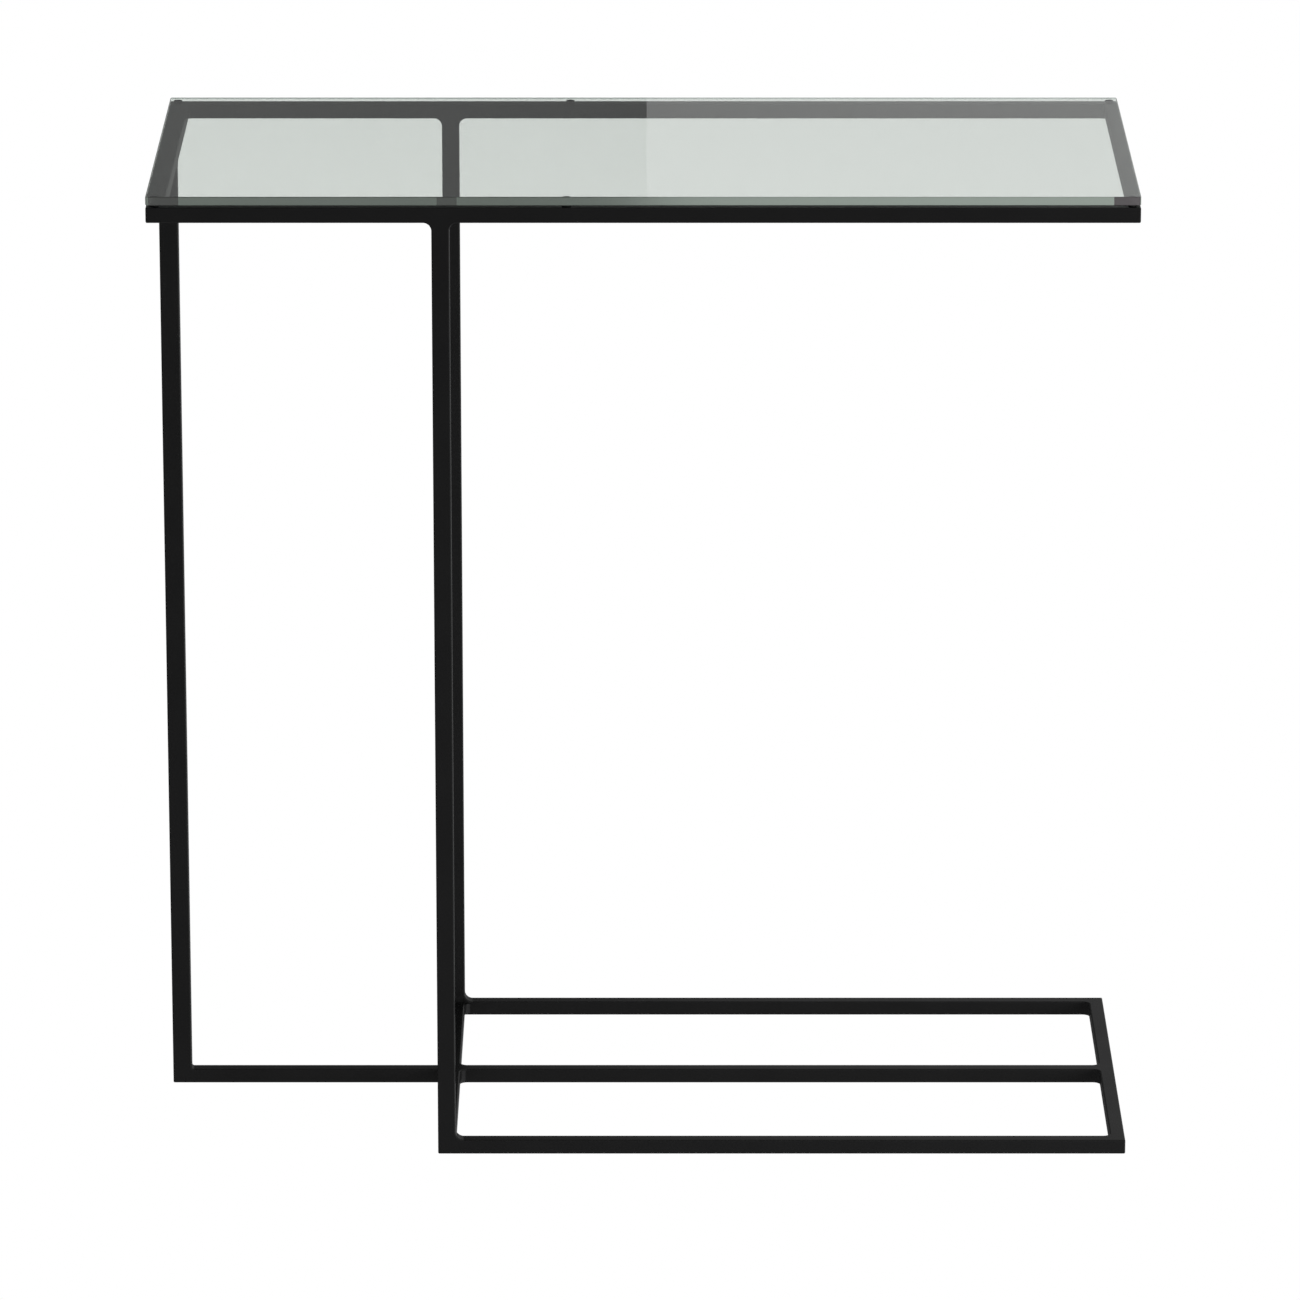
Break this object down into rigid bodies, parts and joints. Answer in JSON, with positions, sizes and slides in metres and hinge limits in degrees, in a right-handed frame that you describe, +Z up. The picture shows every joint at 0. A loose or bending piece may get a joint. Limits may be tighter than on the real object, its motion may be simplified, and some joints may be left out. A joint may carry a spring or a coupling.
{
  "type": "side table",
  "caption": "Narrow C shaped side table: a loose clear glass top on bumpers, carried by a welded black steel bar frame whose base slides under a seat.",
  "frame": {"origin": "on the floor, under the middle of the table's bounding box", "axes": "+Z up; +X along the length, towards the open side of the C; +Y across the depth, from the front to the back"},
  "size_m": [0.66, 0.306, 0.672],
  "materials": {
    "black_steel": "black powder coat, satin with a fine even texture, over ground welds",
    "bumper_rubber": "soft dark moulded bumper",
    "clear_glass": "clear float glass with polished edges, faintly green through its thickness"
  },
  "bodies": {
    "frame": {"front_upright": "black_steel", "back_upright": "black_steel", "left_leg": "black_steel", "top_front_rail": "black_steel", "top_back_rail": "black_steel", "top_left_rail": "black_steel", "top_right_rail": "black_steel", "base_front_rail": "black_steel", "base_middle_rail": "black_steel", "base_back_rail": "black_steel", "base_left_rail": "black_steel", "base_cross_rail": "black_steel", "base_right_rail": "black_steel", "front_foot_weld": "black_steel", "back_foot_weld": "black_steel", "bumper_front_left": "bumper_rubber", "bumper_front_middle": "bumper_rubber", "bumper_front_right": "bumper_rubber", "bumper_back_left": "bumper_rubber", "bumper_back_middle": "bumper_rubber", "bumper_back_right": "bumper_rubber"},
    "glass": {"glass_top": "clear_glass"}
  },
  "joints": [
    {"name": "glass_lift", "type": "slide", "parent": "frame", "child": "glass", "axis": [0, 0, 1], "range_m": [0, 0.12]}
  ]
}
